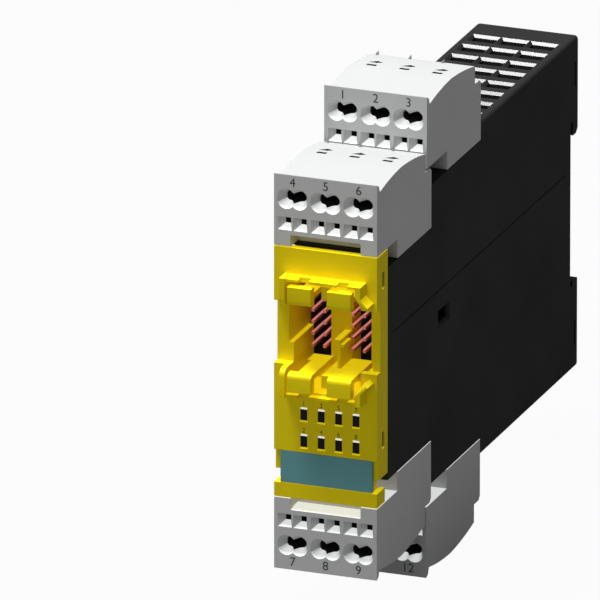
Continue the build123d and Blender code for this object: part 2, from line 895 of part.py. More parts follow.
def make_latch_spring():
    """A small compression spring that pushes the latch up against the rail."""
    front, flange_back, back = latch_depths()
    wire = spring_wire_radius
    length = spring_rest_length - 2 * wire
    path = Helix(pitch=length / spring_turns, height=length, radius=spring_coil_radius)
    section = Plane(origin=path @ 0, z_dir=path % 0) * Circle(wire)
    coil = sweep(section, path=path)
    middle_y = front + spring_coil_radius + wire + 0.1
    return Pos(0, middle_y, spring_pocket_top - spring_rest_length + wire) * coil


def make_parts():
    parts = {
        "housing": make_housing(),
        "front_cover": make_front_cover(),
        "label_plate": make_label_plate(),
        "light_guide": make_light_guide(),
        "front_board": make_front_board(),
        "status_lights": make_status_lights(),
        "board_connector": make_board_connector(),
        "main_board": make_main_board(),
        "processors": make_processors(),
        "capacitors": make_capacitors(),
        "output_drivers": make_output_drivers(),
        "supply_coil": make_supply_coil(),
        "rail_latch": make_rail_latch(),
        "latch_spring": make_latch_spring(),
    }
    for side, x in zip(("left", "right"), header_xs):
        parts[f"{side}_pin_header"] = make_header_body(x)
        parts[f"{side}_header_pins"] = make_header_pins(x)
    block = {
        "terminal_block": [make_block_housing()],
        "contact_bars": make_contact_bars(),
        "clamp_springs": make_clamp_springs(),
        "plug_blades": make_blades(),
        "blade_strip": [make_blade_strip()],
    }
    for place_name, place in block_places().items():
        for piece_name, solids in block.items():
            parts[f"{place_name}_{piece_name}"] = [place(solid) for solid in solids]
    return parts


def as_shape(piece):
    """One shape for a node: a single solid, or a group of separate ones."""
    if not isinstance(piece, list):
        return piece
    solids = [solid for shape in piece for solid in shape.solids()]
    return solids[0] if len(solids) == 1 else Compound(children=solids)


os.makedirs("parts", exist_ok=True)
for name, piece in make_parts().items():
    export_step(as_shape(piece), f"parts/{name}.step")
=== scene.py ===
import math
import bmesh
import bpy
from mathutils import Matrix, Vector


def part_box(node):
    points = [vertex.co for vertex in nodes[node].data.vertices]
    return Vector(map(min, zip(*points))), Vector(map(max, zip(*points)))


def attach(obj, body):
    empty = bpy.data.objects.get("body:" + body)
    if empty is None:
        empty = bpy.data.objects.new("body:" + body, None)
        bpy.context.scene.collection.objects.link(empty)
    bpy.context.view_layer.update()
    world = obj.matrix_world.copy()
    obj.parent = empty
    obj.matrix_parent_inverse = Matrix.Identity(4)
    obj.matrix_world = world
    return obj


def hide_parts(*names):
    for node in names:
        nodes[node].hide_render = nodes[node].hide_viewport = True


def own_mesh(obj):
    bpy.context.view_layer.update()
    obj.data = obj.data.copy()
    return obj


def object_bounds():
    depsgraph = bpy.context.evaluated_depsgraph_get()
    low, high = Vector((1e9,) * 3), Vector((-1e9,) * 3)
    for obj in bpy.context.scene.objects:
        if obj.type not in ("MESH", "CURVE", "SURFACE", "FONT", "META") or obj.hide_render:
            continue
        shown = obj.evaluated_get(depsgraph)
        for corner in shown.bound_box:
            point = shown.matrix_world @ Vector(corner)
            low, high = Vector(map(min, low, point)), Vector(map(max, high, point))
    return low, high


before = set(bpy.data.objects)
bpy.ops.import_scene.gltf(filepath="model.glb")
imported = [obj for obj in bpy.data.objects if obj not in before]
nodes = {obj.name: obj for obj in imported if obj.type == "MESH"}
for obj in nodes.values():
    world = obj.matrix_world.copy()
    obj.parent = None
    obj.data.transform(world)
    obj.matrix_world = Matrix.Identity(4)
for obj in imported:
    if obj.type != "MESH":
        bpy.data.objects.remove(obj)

# A rail-mounted safety module: its camera, light, finishes, printed numbers, and the moulded pieces whose
# detail goes past the solids: the front cover, the pin header bodies and the four terminal block housings.
cad_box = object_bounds()
MM = 0.001

# View: a long lens, because the photograph is nearly a parallel projection
AZIMUTH = math.radians(20.61)
ELEVATION = math.radians(19.75)
LENS = 1690.0
SENSOR = 36.0
VIEW_WIDTH = 123.80 * MM
VIEW_CENTRE = Vector((-24.27, -65.28, -2.99)) * MM
CLIP_END = 100.0

# Light: two lamps, each given by the way to it from the middle of the module, and the studio's white
STUDIO_MIDDLE = Vector((0.0, -0.055, 0.0))
LAMP_DISTANCE = 1.2
LAMP_SIZE = 0.42
KEY_WAY = Vector((-0.27, -0.15, 0.95))
KEY_POWER = 19.0
FILL_WAY = Vector((0.0, -0.97, 0.22))
FILL_POWER = 0.9
WHITE = (1.0, 1.0, 1.0, 1.0)
AMBIENT = 0.23
FLOOR_SIDE = 3.0
FLOOR_GREYS = (0.20, 0.22)
FLOOR_GLOW = 0.96

# Finishes: scales of the noises, the depth of the moulded grain and the rounding of metal edges
FLOW_SCALE = 55.0
GRAIN_SCALE = 2600.0
GRAIN_RELIEF = 0.08
TARNISH_SCALE = 420.0
LINE_SCALE = 5200.0
METAL_ROUNDING = 0.08

# The sizes below are in millimetres. The front plane and the front board's plane come from the frame.
# Cutters run PAST the surface that they open, and joined pieces overlap by PROUD. Corners closer than MERGE
# become one. The STEPS are how many straight pieces stand for a curve.
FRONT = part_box("label_plate")[0][1] / MM
BOARD_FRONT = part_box("front_board")[0][1] / MM
HALF_WIDTH = 11.25
PAST = 1.0
PROUD = 0.05
MERGE = 0.001
SMOOTH_ANGLE = math.radians(32)
ARCH_STEPS = 12
ROUND_STEPS = 10
NOSE_STEPS = 8
BORE_CORNER_STEPS = 5

# Printed numbers: cap height over text size of the built-in font, ink thickness, sizes and places
CAP_SHARE = 0.70
TEXT_STEPS = 6
INK = 0.012
BLOCK_CAP = 1.9
BLOCK_TEXT_DROP = 1.66
WINDOW_CAP = 1.0
WINDOW_TEXT_RISE = 0.75

# Terminal block housing, drawn with its outer front edge at the origin. Points are (depth, height).
BLOCK_EDGES = {"upper_rear": 52.4, "upper_front": 42.9, "lower_front": -42.9, "lower_rear": -52.4}
BLOCK_BODIES = {"upper_front": "upper_front_block", "lower_front": "lower_front_block"}
POLE_XS = (-7.2, 0.0, 7.2)
BLOCK_DEPTH = 31.8
BLOCK_FRONT_HEIGHT = 15.5
BLOCK_REAR_HEIGHT = 19.6
BLOCK_STEP = 12.0
LIP = (1.0, -0.5)
VALLEY = (1.6, -1.85)
FIRST_BOW = (7.95, -0.90)
ARCH_TOP = (14.3, -0.55)
SECOND_BOW = (21.3, -1.19)
ARCH_END = (28.3, -2.5)
SHOULDER_DROP = 6.4
SHOULDER_CHAMFER = 0.8
WIRE_DROP = 5.26
WIRE_WIDTH = 3.8
WIRE_STRAIGHT = 0.6
WIRE_SPREAD = 2.8
WIRE_FUNNEL = 2.6
BORE_WIDTH = 4.2
BORE_HEIGHT = 2.2
WEB_DEPTH = 0.8
BORE_END = 9.0
RELEASE_DROP = 10.6
RELEASE_MOUTH = (3.05, 2.85)
RELEASE_PITCH = 3.4
RELEASE_FUNNEL = 2.2
RELEASE_HOLE = 1.1
GRIP_HALF_WIDTH = 7.65
GRIP_HEIGHT = 2.6
GRIP_DEPTH = 4.3
GRIP_RAMP = (2.6, 0.5)
NIB_OFFSET = 3.7
NIB_WIDTH = 1.05
NIB_DEPTH = 1.3
NIB_RISE = 0.85
NIB_ROOT = 0.5
SLOT_DEPTHS = (16.45, 17.55)
SLOT_WIDTH = 2.1
MARKER_DEPTHS = (19.05, 20.75)
MARKER_WIDTH = 2.9
MARKER_FLAT = 0.35
CHAMBER_HALF_WIDTH = 3.1
CHAMBER_FRONT = 8.0
CHAMBER_ROOF = 3.6
CHAMBER_FRONT_FLOOR = 14.2
CHAMBER_STEP = 12.8
CHAMBER_FLOOR = 18.8
CHAMBER_ROOF_END = 27.3
CHAMBER_REAR_ROOF = 8.4

# Front cover
COVER_DEPTH = 6.2
COVER_HALF_HEIGHT = 27.2
COVER_SKIN = 1.6
COVER_WALL = 1.0
SIDE_SLOT_TOPS = (23.1, -11.6)
SIDE_SLOT_HEIGHT = 3.7
SIDE_SLOT_DEPTHS = (3.1, 4.4)
BAY_TOP = 15.45
BAY_BOTTOM = 1.85
BAY_SETBACK = 2.0
LABEL_Z = (-24.0, -17.0)
LABEL_DEPTH = 1.0
NOTCH_Z = (-24.1, -21.4)
NOTCH_WIDTH = 1.3
FOOT_DEPTH = 4.6
GRIP_OPEN_HALF = 9.7

# Pieces of the housing behind the cover: snap tabs in the side slots and the rib behind the grip gap
TAB_X = (9.6, 10.15)
TAB_DEPTHS = (2.6, 8.2)
TAB_MARGIN = 0.4
SNAP_NOSE_X = (10.1, 10.95)
SNAP_NOSE_SHORT = 0.35
GAP_RIB_HALF = 9.6
GAP_RIB_DEPTHS = (4.6, 6.2)
GAP_RIB_HEIGHT = 1.0
GAP_RIB_BEVEL = 0.4

# Status windows of the cover, with the light guides' smoked panes and painted highlight strips on their upper
# edges
WINDOW_MIDDLE = 0.95
WINDOW_PITCH = 3.8
WINDOW_XS = tuple(WINDOW_MIDDLE + place * WINDOW_PITCH for place in (-1.5, -0.5, 0.5, 1.5))
WINDOW_ZS = (-8.6, -14.4)
WINDOW_WIDTH = 1.5
WINDOW_HEIGHT = 2.9
SILL = 0.35
SILL_OVERHANG = 0.15
PANE_SETBACK = 0.15
PANE_GAP = 0.02
STRIP_HEIGHT = 0.42
STRIP_DEPTH = 0.14

# Plug interface, a bracket and two tongues and the same mirrored below. The bracket's, the tongues', the
# ledges' and the wing's heights count from its middle, and the guide's and the rib's from the module's.
MIDDLE_Z = (BAY_TOP + BAY_BOTTOM) / 2
RECESS_HALF_WIDTH = 8.7
RECESS_HALF_HEIGHT = 11.85
RECESS_WALL = 0.8
RECESS_RELIEF = 0.95
HEADER_DEPTH = 2.5
HEADER_FIT = 0.05
HEADER_HALF_HEIGHT = RECESS_HALF_HEIGHT - 0.1
HEADER_BEVEL = 0.2
BRACKET_HALF_WIDTH = 8.85
BRACKET_LEG = 1.2
BRACKET_BAR = 1.1
BRACKET_REACH = 3.5
BAR_REACH = 1.4
BRACKET_NOSE = 1.7
LEDGE_SPANS = ((-7.65, -4.95), (-2.6, 3.5), (5.85, 7.65))
LEDGE_REACH = 3.1
LEDGE_HEIGHT = 0.55
LEDGE_STEP = 0.15
WING_START = 10.25
WING_RUN = 1.6
WING_SHIFT = 0.85
WING_BEVEL = 0.7
TONGUE_XS = (-4.325, 4.325)
TONGUE_WIDTH = 5.2
TONGUE_INNER = 7.4
TONGUE_OUTER = 11.4
TONGUE_REACH = 4.0
TONGUE_NOSE = 2.0
TONGUE_ROUND = 1.1
TONGUE_PLATE = 1.2
TONGUE_NECK = 1.75
TONGUE_NECK_LENGTH = 7.5
TONGUE_LENGTH = 13.45
TONGUE_ROOT = 1.25
UPPER_PLATE = 9.05
LOWER_PLATE = 7.4
SADDLE_DROP = 0.1
SADDLE_SETBACK = 1.7
SADDLE_WALL = 2.7
SADDLE_LEFT = -0.05
SADDLE_GAP = 0.05
WEB_HALF_WIDTH = 2.28
GUIDE_TOP = 6.0
GUIDE_WIDTH = 1.05
GUIDE_LENGTH = 11.7
RIB_X = (1.55, 2.2)
RIB_TOP = 7.3
RIB_SETBACK = 0.9
RIB_FLANGE = 0.8
RIB_FLANGE_HEIGHT = 0.6
RIB_SHELF_WIDTH = 0.75
RIB_SHELF_DROP = 0.9
RIB_SHELF_LENGTH = 4.4


class Value:
    """One socket of a node tree, on which plain arithmetic adds Math nodes."""

    def __init__(self, shades, socket):
        self.shades = shades
        self.socket = socket

    def joined(self, operation, first, second):
        """The outcome of one Math node. Either side may be a plain number."""
        return self.shades.node("ShaderNodeMath", {"operation": operation}, {0: first, 1: second})

    def __add__(self, other):
        return self.joined("ADD", self, other)

    def __radd__(self, other):
        return self.joined("ADD", other, self)

    def __sub__(self, other):
        return self.joined("SUBTRACT", self, other)

    def __rsub__(self, other):
        return self.joined("SUBTRACT", other, self)

    def __mul__(self, other):
        return self.joined("MULTIPLY", self, other)

    def __rmul__(self, other):
        return self.joined("MULTIPLY", other, self)

    def __gt__(self, other):
        return self.joined("GREATER_THAN", self, other)

    def __or__(self, other):
        return self.joined("MAXIMUM", self, other)


class Shades:
    """The node tree of a finish or of the studio around the module."""

    def __init__(self, holder):
        holder.use_nodes = True
        self.holder = holder
        self.tree = holder.node_tree
        self.tree.nodes.clear()

    def node(self, kind, settings, inputs, output=0):
        """A new node's output, with its settings made and its inputs set or linked."""
        made = self.tree.nodes.new(kind)
        for key, setting in settings.items():
            setattr(made, key, setting)
        for key, given in inputs.items():
            if isinstance(given, Value):
                self.tree.links.new(given.socket, made.inputs[key])
            else:
                made.inputs[key].default_value = given
        return Value(self, made.outputs[output])

    def noise(self, scale, detail=2.0):
        """Noise over the object's own coordinates, about 0.5 on average."""
        place = self.node("ShaderNodeTexCoord", {}, {}, "Object")
        return self.node("ShaderNodeTexNoise", {}, {"Vector": place, "Scale": scale, "Detail": detail}, "Fac")

    def mixed(self, share, first, second):
        """A colour between two colours."""
        return self.node("ShaderNodeMix", {"data_type": "RGBA"}, {0: share, 6: first, 7: second}, 2)

    def seen_directly(self):
        """1 where the camera sees, also in a reflection or through something clear, and 0 elsewhere."""
        rays = [self.node("ShaderNodeLightPath", {}, {}, name)
                for name in ("Is Camera Ray", "Is Glossy Ray", "Is Transmission Ray")]
        return rays[0] | rays[1] | rays[2]

    def finished(self, shader, end_kind="ShaderNodeOutputMaterial"):
        """Links the shader to the tree's end and gives back the material or world."""
        end = self.tree.nodes.new(end_kind)
        self.tree.links.new(shader.socket, end.inputs["Surface"])
        return self.holder


def shade_of(colour, factor):
    """A darker or lighter shade of a colour."""
    return (colour[0] * factor, colour[1] * factor, colour[2] * factor, 1.0)


def slopes(shades, upright_least, forward_least):
    """How far a surface faces up, where it faces up and forward by at least these shares, and 0 elsewhere."""
    facing = shades.node("ShaderNodeNewGeometry", {}, {}, "True Normal")
    upright = shades.node("ShaderNodeVectorMath", {"operation": "DOT_PRODUCT"}, {0: facing, 1: (0, 0, 1)}, 1)
    forward = shades.node("ShaderNodeVectorMath", {"operation": "DOT_PRODUCT"}, {0: facing, 1: (0, -1, 0)}, 1)
    return (upright > upright_least) * (forward > forward_least) * upright


def own_light(shades, colours, slope):
    """Emission inputs for slopes that face up. The photograph has no cast shadows, so its recessed slopes
    are as bright as its outer ones. A slope is (least share upright, least share forward, strength)."""
    if not slope:
        return {}
    upright_least, forward_least, strength = slope
    share = slopes(shades, upright_least, forward_least)
    black = (0.0, 0.0, 0.0, 1.0)
    return {"Emission Color": shades.mixed(share, black, colours), "Emission Strength": strength}


def moulded(name, colour, roughness=0.5, mottle=0.04, rounding=0.15, gloss=0.05, polished_slope=None,
            painted_light_slope=None):
    """Injection-moulded plastic: eroded grain, faint flow mottling, a thin uneven skin, soft edges and, where
    asked, painted light: a glow on faces that turn up.
    """
    shades = Shades(bpy.data.materials.new(name))
    flow = shades.noise(FLOW_SCALE, 4.0)
    fine = shades.noise(GRAIN_SCALE, 3.0)
    colours = shades.mixed(flow, shade_of(colour, 1.0 - mottle), shade_of(colour, 1.0 + mottle))
    edge = shades.node("ShaderNodeBevel", {"samples": 6}, {"Radius": rounding * MM})
    height = fine * 0.8 + flow * 0.2
    normal = shades.node("ShaderNodeBump", {}, {"Strength": GRAIN_RELIEF, "Distance": 0.02 * MM,
                                               "Height": height, "Normal": edge})
    rough = roughness + (fine - 0.5) * 0.12 + (flow - 0.5) * 0.10
    skin = gloss + (flow - 0.5) * gloss
    if polished_slope:
        upright_least, forward_least, strength = polished_slope
        skin = skin + slopes(shades, upright_least, forward_least) * strength
    shader = shades.node("ShaderNodeBsdfPrincipled", {}, {
        "Base Color": colours, "Roughness": rough, "Normal": normal, "Specular IOR Level": 0.0,
        "Coat Weight": skin, "Coat Roughness": 0.22, **own_light(shades, colours, painted_light_slope)})
    return shades.finished(shader)


def drawn_metal(name, colour, roughness, painted_light_slope=None):
    """Plated or drawn metal with fine draw lines, faint tarnish and, where asked, painted light: a glow on
    faces that turn up.
    """
    shades = Shades(bpy.data.materials.new(name))
    tarnish = shades.noise(TARNISH_SCALE, 3.0)
    lines = shades.noise(LINE_SCALE, 1.0)
    colours = shades.mixed(tarnish, shade_of(colour, 0.82), shade_of(colour, 1.06))
    edge = shades.node("ShaderNodeBevel", {"samples": 4}, {"Radius": METAL_ROUNDING * MM})
    normal = shades.node("ShaderNodeBump", {}, {"Strength": 0.1, "Distance": 0.01 * MM,
                                               "Height": lines, "Normal": edge})
    rough = roughness + (tarnish - 0.5) * 0.2
    shader = shades.node("ShaderNodeBsdfPrincipled", {}, {
        "Base Color": colours, "Roughness": rough, "Metallic": 0.75, "Normal": normal,
        **own_light(shades, colours, painted_light_slope)})
    return shades.finished(shader)


def printed_ink(name, colour):
    """Matt ink with a slightly uneven cover."""
    shades = Shades(bpy.data.materials.new(name))
    cover = shades.noise(900.0, 3.0)
    colours = shades.mixed(cover, shade_of(colour, 0.75), shade_of(colour, 1.25))
    shader = shades.node("ShaderNodeBsdfPrincipled", {}, {
        "Base Color": colours, "Roughness": 0.6 + (cover - 0.5) * 0.2, "Specular IOR Level": 0.1})
    return shades.finished(shader)


def floor_finish():
    """A matt floor that the camera sees nearly white and that keeps a faint shadow."""
    shades = Shades(bpy.data.materials.new("pale_floor"))
    grain = shades.noise(30.0)
    colours = shades.mixed(grain, shade_of(WHITE, FLOOR_GREYS[0]), shade_of(WHITE, FLOOR_GREYS[1]))
    matt = shades.node("ShaderNodeBsdfDiffuse", {}, {"Color": colours})
    glow = shades.node("ShaderNodeEmission", {}, {"Color": WHITE, "Strength": 1.0})
    share = shades.seen_directly() * FLOOR_GLOW
    return shades.finished(shades.node("ShaderNodeMixShader", {}, {0: share, 1: matt, 2: glow}))


def set_world():
    """White behind the module, and a weaker white light from all sides on it."""
    world = bpy.data.worlds.new("studio")
    bpy.context.scene.world = world
    shades = Shades(world)
    plain = shades.node("ShaderNodeBackground", {}, {"Color": WHITE, "Strength": AMBIENT})
    bright = shades.node("ShaderNodeBackground", {}, {"Color": WHITE, "Strength": 1.0})
    chosen = shades.node("ShaderNodeMixShader", {}, {0: shades.seen_directly(), 1: plain, 2: bright})
    shades.finished(chosen, "ShaderNodeOutputWorld")


def place_lamp(name, way, power):
    """A round lamp that stands off the module along a way and looks back at it."""
    lamp = bpy.data.lights.new(name, "AREA")
    lamp.shape = "DISK"
    lamp.size = LAMP_SIZE
    lamp.energy = power
    holder = bpy.data.objects.new(name, lamp)
    bpy.context.scene.collection.objects.link(holder)
    holder.location = STUDIO_MIDDLE + way.normalized() * LAMP_DISTANCE
    holder.rotation_euler = way.to_track_quat("Z", "Y").to_euler()


def place_camera():
    """The photograph's view."""
    back = Vector((math.sin(AZIMUTH) * math.cos(ELEVATION), -math.cos(AZIMUTH) * math.cos(ELEVATION),
                   math.sin(ELEVATION)))
    camera = bpy.data.cameras.new("photo_view")
    camera.lens = LENS
    camera.sensor_width = SENSOR
    camera.clip_end = CLIP_END
    holder = bpy.data.objects.new("photo_view", camera)
    bpy.context.scene.collection.objects.link(holder)
    holder.location = VIEW_CENTRE + back * (VIEW_WIDTH * LENS / SENSOR)
    holder.rotation_euler = back.to_track_quat("Z", "Y").to_euler()
    bpy.context.scene.camera = holder


def lay_floor():
    """A wide floor under the module's lowest point."""
    bpy.ops.object.select_all(action="DESELECT")
    bpy.ops.mesh.primitive_plane_add(size=FLOOR_SIDE, location=(0.0, 0.0, cad_box[0][2]))
    floor = bpy.context.object
    floor.name = "floor"
    bpy.ops.object.transform_apply(location=True, rotation=False, scale=False)
    floor.data.materials.append(floor_finish())


def alone(piece):
    """Makes the piece the only one that the next operator works on."""
    bpy.ops.object.select_all(action="DESELECT")
    piece.select_set(True)
    bpy.context.view_layer.objects.active = piece


def block(x, y, z):
    """A block from three (low, high) pairs."""
    bpy.ops.object.select_all(action="DESELECT")
    middle = [(low + high) / 2 * MM for low, high in (x, y, z)]
    bpy.ops.mesh.primitive_cube_add(size=1.0, location=middle)
    piece = bpy.context.object
    piece.scale = [(high - low) * MM for low, high in (x, y, z)]
    bpy.ops.object.transform_apply(location=True, rotation=False, scale=True)
    return piece


def swept(outline, far_outline):
    """A closed form between two outlines with the same number of (x, y, z) points."""
    bpy.ops.object.select_all(action="DESELECT")
    bpy.ops.mesh.primitive_circle_add(vertices=len(outline), radius=MM, fill_type="NGON")
    piece = bpy.context.object
    for corner, place in zip(piece.data.vertices, outline):
        corner.co = Vector(place) * MM
    bpy.ops.object.mode_set(mode="EDIT")
    bpy.ops.mesh.select_all(action="SELECT")
    bpy.ops.mesh.extrude_region_move(TRANSFORM_OT_translate={"value": (MM, 0.0, 0.0)})
    bpy.ops.object.mode_set(mode="OBJECT")
    for corner, place in zip(piece.data.vertices[len(outline):], far_outline):
        corner.co = Vector(place) * MM
    bpy.ops.object.mode_set(mode="EDIT")
    bpy.ops.mesh.select_all(action="SELECT")
    bpy.ops.mesh.normals_make_consistent(inside=False)
    bpy.ops.object.mode_set(mode="OBJECT")
    return piece


def slab(outline, x):
    """A side outline of (y, z) points, run between two x values."""
    return swept([(x[0], y, z) for y, z in outline], [(x[1], y, z) for y, z in outline])


def bar(outline, y):
    """A front outline of (x, z) points, run between two y values."""
    return swept([(x, y[0], z) for x, z in outline], [(x, y[1], z) for x, z in outline])


def funnel(mouth, throat, depth):
    """A cutter that narrows from a mouth outline of (x, z) points to a throat outline."""
    return swept([(x, -PROUD, z) for x, z in mouth], [(x, depth, z) for x, z in throat])


def arc(start, middle, end):
    """Points of the arc through three points, without its start."""
    (ax, ay), (bx, by), (cx, cy) = start, middle, end
    twice = 2 * (ax * (by - cy) + bx * (cy - ay) + cx * (ay - by))
    a, b, c = ax * ax + ay * ay, bx * bx + by * by, cx * cx + cy * cy
    ox = (a * (by - cy) + b * (cy - ay) + c * (ay - by)) / twice
    oy = (a * (cx - bx) + b * (ax - cx) + c * (bx - ax)) / twice
    radius = math.hypot(ax - ox, ay - oy)
    first = math.atan2(ay - oy, ax - ox)
    last = math.atan2(cy - oy, cx - ox)
    turns = [first + (last - first) * (step + 1) / ARCH_STEPS for step in range(ARCH_STEPS)]
    return [(ox + radius * math.cos(turn), oy + radius * math.sin(turn)) for turn in turns]


def obround(x, z, width, straight):
    """An upright obround outline: two half circles apart by a straight run."""
    radius = width / 2
    points = []
    for side, start in ((1, 0.0), (-1, math.pi)):
        middle = z + side * straight / 2
        for step in range(ROUND_STEPS + 1):
            turn = start + math.pi * step / ROUND_STEPS
            points.append((x + radius * math.cos(turn), middle + radius * math.sin(turn)))
    return points


def rectangle(x, z, width, height):
    """A rectangle's outline round its middle."""
    return [(x + sx * width / 2, z + sz * height / 2) for sx, sz in ((1, 1), (-1, 1), (-1, -1), (1, -1))]


def worked(body, tools, operation):
    """The body with the tools joined to it or cut from it."""
    bpy.ops.object.select_all(action="DESELECT")
    for tool in tools:
        tool.select_set(True)
    bpy.context.view_layer.objects.active = tools[0]
    bpy.ops.object.join()
    alone(body)
    step = body.modifiers.new("step", "BOOLEAN")
    step.operation = operation
    step.solver = "EXACT"
    step.material_mode = "TRANSFER"
    step.use_self = True
    step.object = tools[0]
    bpy.ops.object.modifier_apply(modifier=step.name)
    bpy.data.objects.remove(tools[0], do_unlink=True)
    return body


def softened(piece, place, width, segments):
    """The piece with the edge whose middle is nearest to a place bevelled."""
    alone(piece)
    bpy.ops.object.mode_set(mode="EDIT")
    bpy.ops.mesh.select_all(action="DESELECT")
    mesh = bmesh.from_edit_mesh(piece.data)
    target = Vector(place) * MM
    nearest = min(mesh.edges, key=lambda edge: ((edge.verts[0].co + edge.verts[1].co) / 2 - target).length)
    nearest.select_set(True)
    bmesh.update_edit_mesh(piece.data)
    bpy.ops.mesh.bevel(offset=width * MM, segments=segments, affect="EDGES")
    bpy.ops.object.mode_set(mode="OBJECT")
    return piece


def coloured(pieces, finish):
    """The pieces with a finish, which a cutter passes on to the faces that it cuts."""
    for piece in pieces:
        piece.data.materials.append(finish)
    return pieces


def finished_piece(piece, name, finish, body, replaced=None):
    """Names, dresses and hands over a piece. Each finish is named after its slot in the record, and Blender
    puts a number after that name where the solids' own material has it."""
    alone(piece)
    bpy.ops.object.shade_smooth_by_angle(angle=SMOOTH_ANGLE)
    piece.name = name
    if piece.data.materials:
        piece.material_slots[0].material = finish
    else:
        piece.data.materials.append(finish)
    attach(piece, body)
    if replaced:
        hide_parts(replaced)


def copied(piece):
    """A copy with a mesh of its own."""
    copy = piece.copy()
    copy.data = piece.data.copy()
    bpy.context.scene.collection.objects.link(copy)
    return copy


# Terminal block housing


def block_profile():
    """The block housing's side outline: lip, two arches, shoulder and stepped underside."""
    arches = arc(VALLEY, FIRST_BOW, ARCH_TOP) + arc(ARCH_TOP, SECOND_BOW, ARCH_END)
    return [(0, 0), LIP, VALLEY] + arches + [
        (ARCH_END[0], -SHOULDER_DROP), (BLOCK_DEPTH - SHOULDER_CHAMFER, -SHOULDER_DROP),
        (BLOCK_DEPTH, -SHOULDER_DROP - SHOULDER_CHAMFER), (BLOCK_DEPTH, -BLOCK_REAR_HEIGHT),
        (BLOCK_STEP, -BLOCK_REAR_HEIGHT), (BLOCK_STEP, -BLOCK_FRONT_HEIGHT), (0, -BLOCK_FRONT_HEIGHT),
    ]


def wire_entry(x, finish, hollow):
    """Two round funnels side by side, opened into one wide bore."""
    throat_width = BORE_HEIGHT - WIRE_STRAIGHT
    throat_spread = BORE_WIDTH - throat_width
    bore_x = (x - BORE_WIDTH / 2, x + BORE_WIDTH / 2)
    bore_z = (-WIRE_DROP - BORE_HEIGHT / 2, -WIRE_DROP + BORE_HEIGHT / 2)
    bore = block(bore_x, (WEB_DEPTH, BORE_END), bore_z)
    for side_x in bore_x:
        for side_z in bore_z:
            softened(bore, (side_x, BORE_END / 2, side_z), throat_width / 2, BORE_CORNER_STEPS)
    funnels = []
    for side in (-1, 1):
        mouth = obround(x + side * WIRE_SPREAD / 2, -WIRE_DROP, WIRE_WIDTH, WIRE_STRAIGHT)
        throat = obround(x + side * throat_spread / 2, -WIRE_DROP, throat_width, WIRE_STRAIGHT)
        funnels.append(funnel(mouth, throat, WIRE_FUNNEL))
    return coloured(funnels, finish) + coloured([bore], hollow)


def release_entry(x, finish, hollow):
    """A pair of square funnels for a screwdriver tip."""
    funnels = []
    holes = []
    for side in (-1, 1):
        middle = x + side * RELEASE_PITCH / 2
        mouth = rectangle(middle, -RELEASE_DROP, *RELEASE_MOUTH)
        throat = rectangle(middle, -RELEASE_DROP, RELEASE_HOLE, RELEASE_HOLE)
        half = RELEASE_HOLE / 2
        funnels.append(funnel(mouth, throat, RELEASE_FUNNEL))
        holes.append(block((middle - half, middle + half), (RELEASE_FUNNEL / 2, BORE_END),
                           (-RELEASE_DROP - half, -RELEASE_DROP + half)))
    return coloured(funnels, finish) + coloured(holes, hollow)


def pole_chamber(x):
    """The room of one pole, open at the rear where its blade enters."""
    span = (x - CHAMBER_HALF_WIDTH, x + CHAMBER_HALF_WIDTH)
    return [
        block(span, (CHAMBER_FRONT, CHAMBER_STEP), (-CHAMBER_FRONT_FLOOR, -CHAMBER_ROOF)),
        block(span, (CHAMBER_STEP, CHAMBER_ROOF_END), (-CHAMBER_FLOOR, -CHAMBER_ROOF)),
        block(span, (CHAMBER_ROOF_END, BLOCK_DEPTH + PAST), (-CHAMBER_FLOOR, -CHAMBER_REAR_ROOF)),
    ]


def top_marks(x):
    """The test slot and the marker notch over one pole."""
    slot_x = (x - SLOT_WIDTH / 2, x + SLOT_WIDTH / 2)
    front, back = MARKER_DEPTHS
    wing = MARKER_WIDTH / 2
    corners = [(x - wing, front), (x + wing * MARKER_FLAT, front), (x + wing, (front + back) / 2), (x, back)]
    low, high = -CHAMBER_ROOF - PAST, PAST
    notch = swept([(cx, cy, low) for cx, cy in corners], [(cx, cy, high) for cx, cy in corners])
    return [block(slot_x, SLOT_DEPTHS, (low, high)), notch]


def finger_grip():
    """The recess under the block's front edge, with a sloping roof."""
    half = (-GRIP_HALF_WIDTH, GRIP_HALF_WIDTH)
    low = -BLOCK_FRONT_HEIGHT - PAST
    floor = -BLOCK_FRONT_HEIGHT + GRIP_HEIGHT
    ramp_end, ramp_rise = GRIP_RAMP
    recess = block(half, (-PAST, GRIP_DEPTH), (low, floor - ramp_rise))
    ramp = [(-PAST, floor), (ramp_end, floor - ramp_rise), (ramp_end, low), (-PAST, low)]
    return [recess, slab(ramp, half)]


def nib(x):
    """The small wedge that stands up behind the arches, one to a pole."""
    left = x - NIB_OFFSET
    right = left + NIB_WIDTH
    foot = ARCH_END[1] - NIB_ROOT
    outline = [(left, foot), (right, foot), (right, ARCH_END[1] + NIB_RISE)]
    return bar(outline, (ARCH_END[0] - NIB_DEPTH, ARCH_END[0]))


def block_housing(finish, hollow):
    """One housing with its entries, chambers and marks. The hollow finish lines what lies deep inside with
    near-black painted shade.
    """
    body = slab(block_profile(), (-HALF_WIDTH, HALF_WIDTH))
    coloured([body], finish)
    worked(body, coloured([nib(x) for x in POLE_XS], finish), "UNION")
    cutters = coloured(finger_grip(), finish)
    for x in POLE_XS:
        cutters += wire_entry(x, finish, hollow) + release_entry(x, finish, hollow)
        cutters += coloured(pole_chamber(x) + top_marks(x), hollow)
    return worked(body, cutters, "DIFFERENCE")


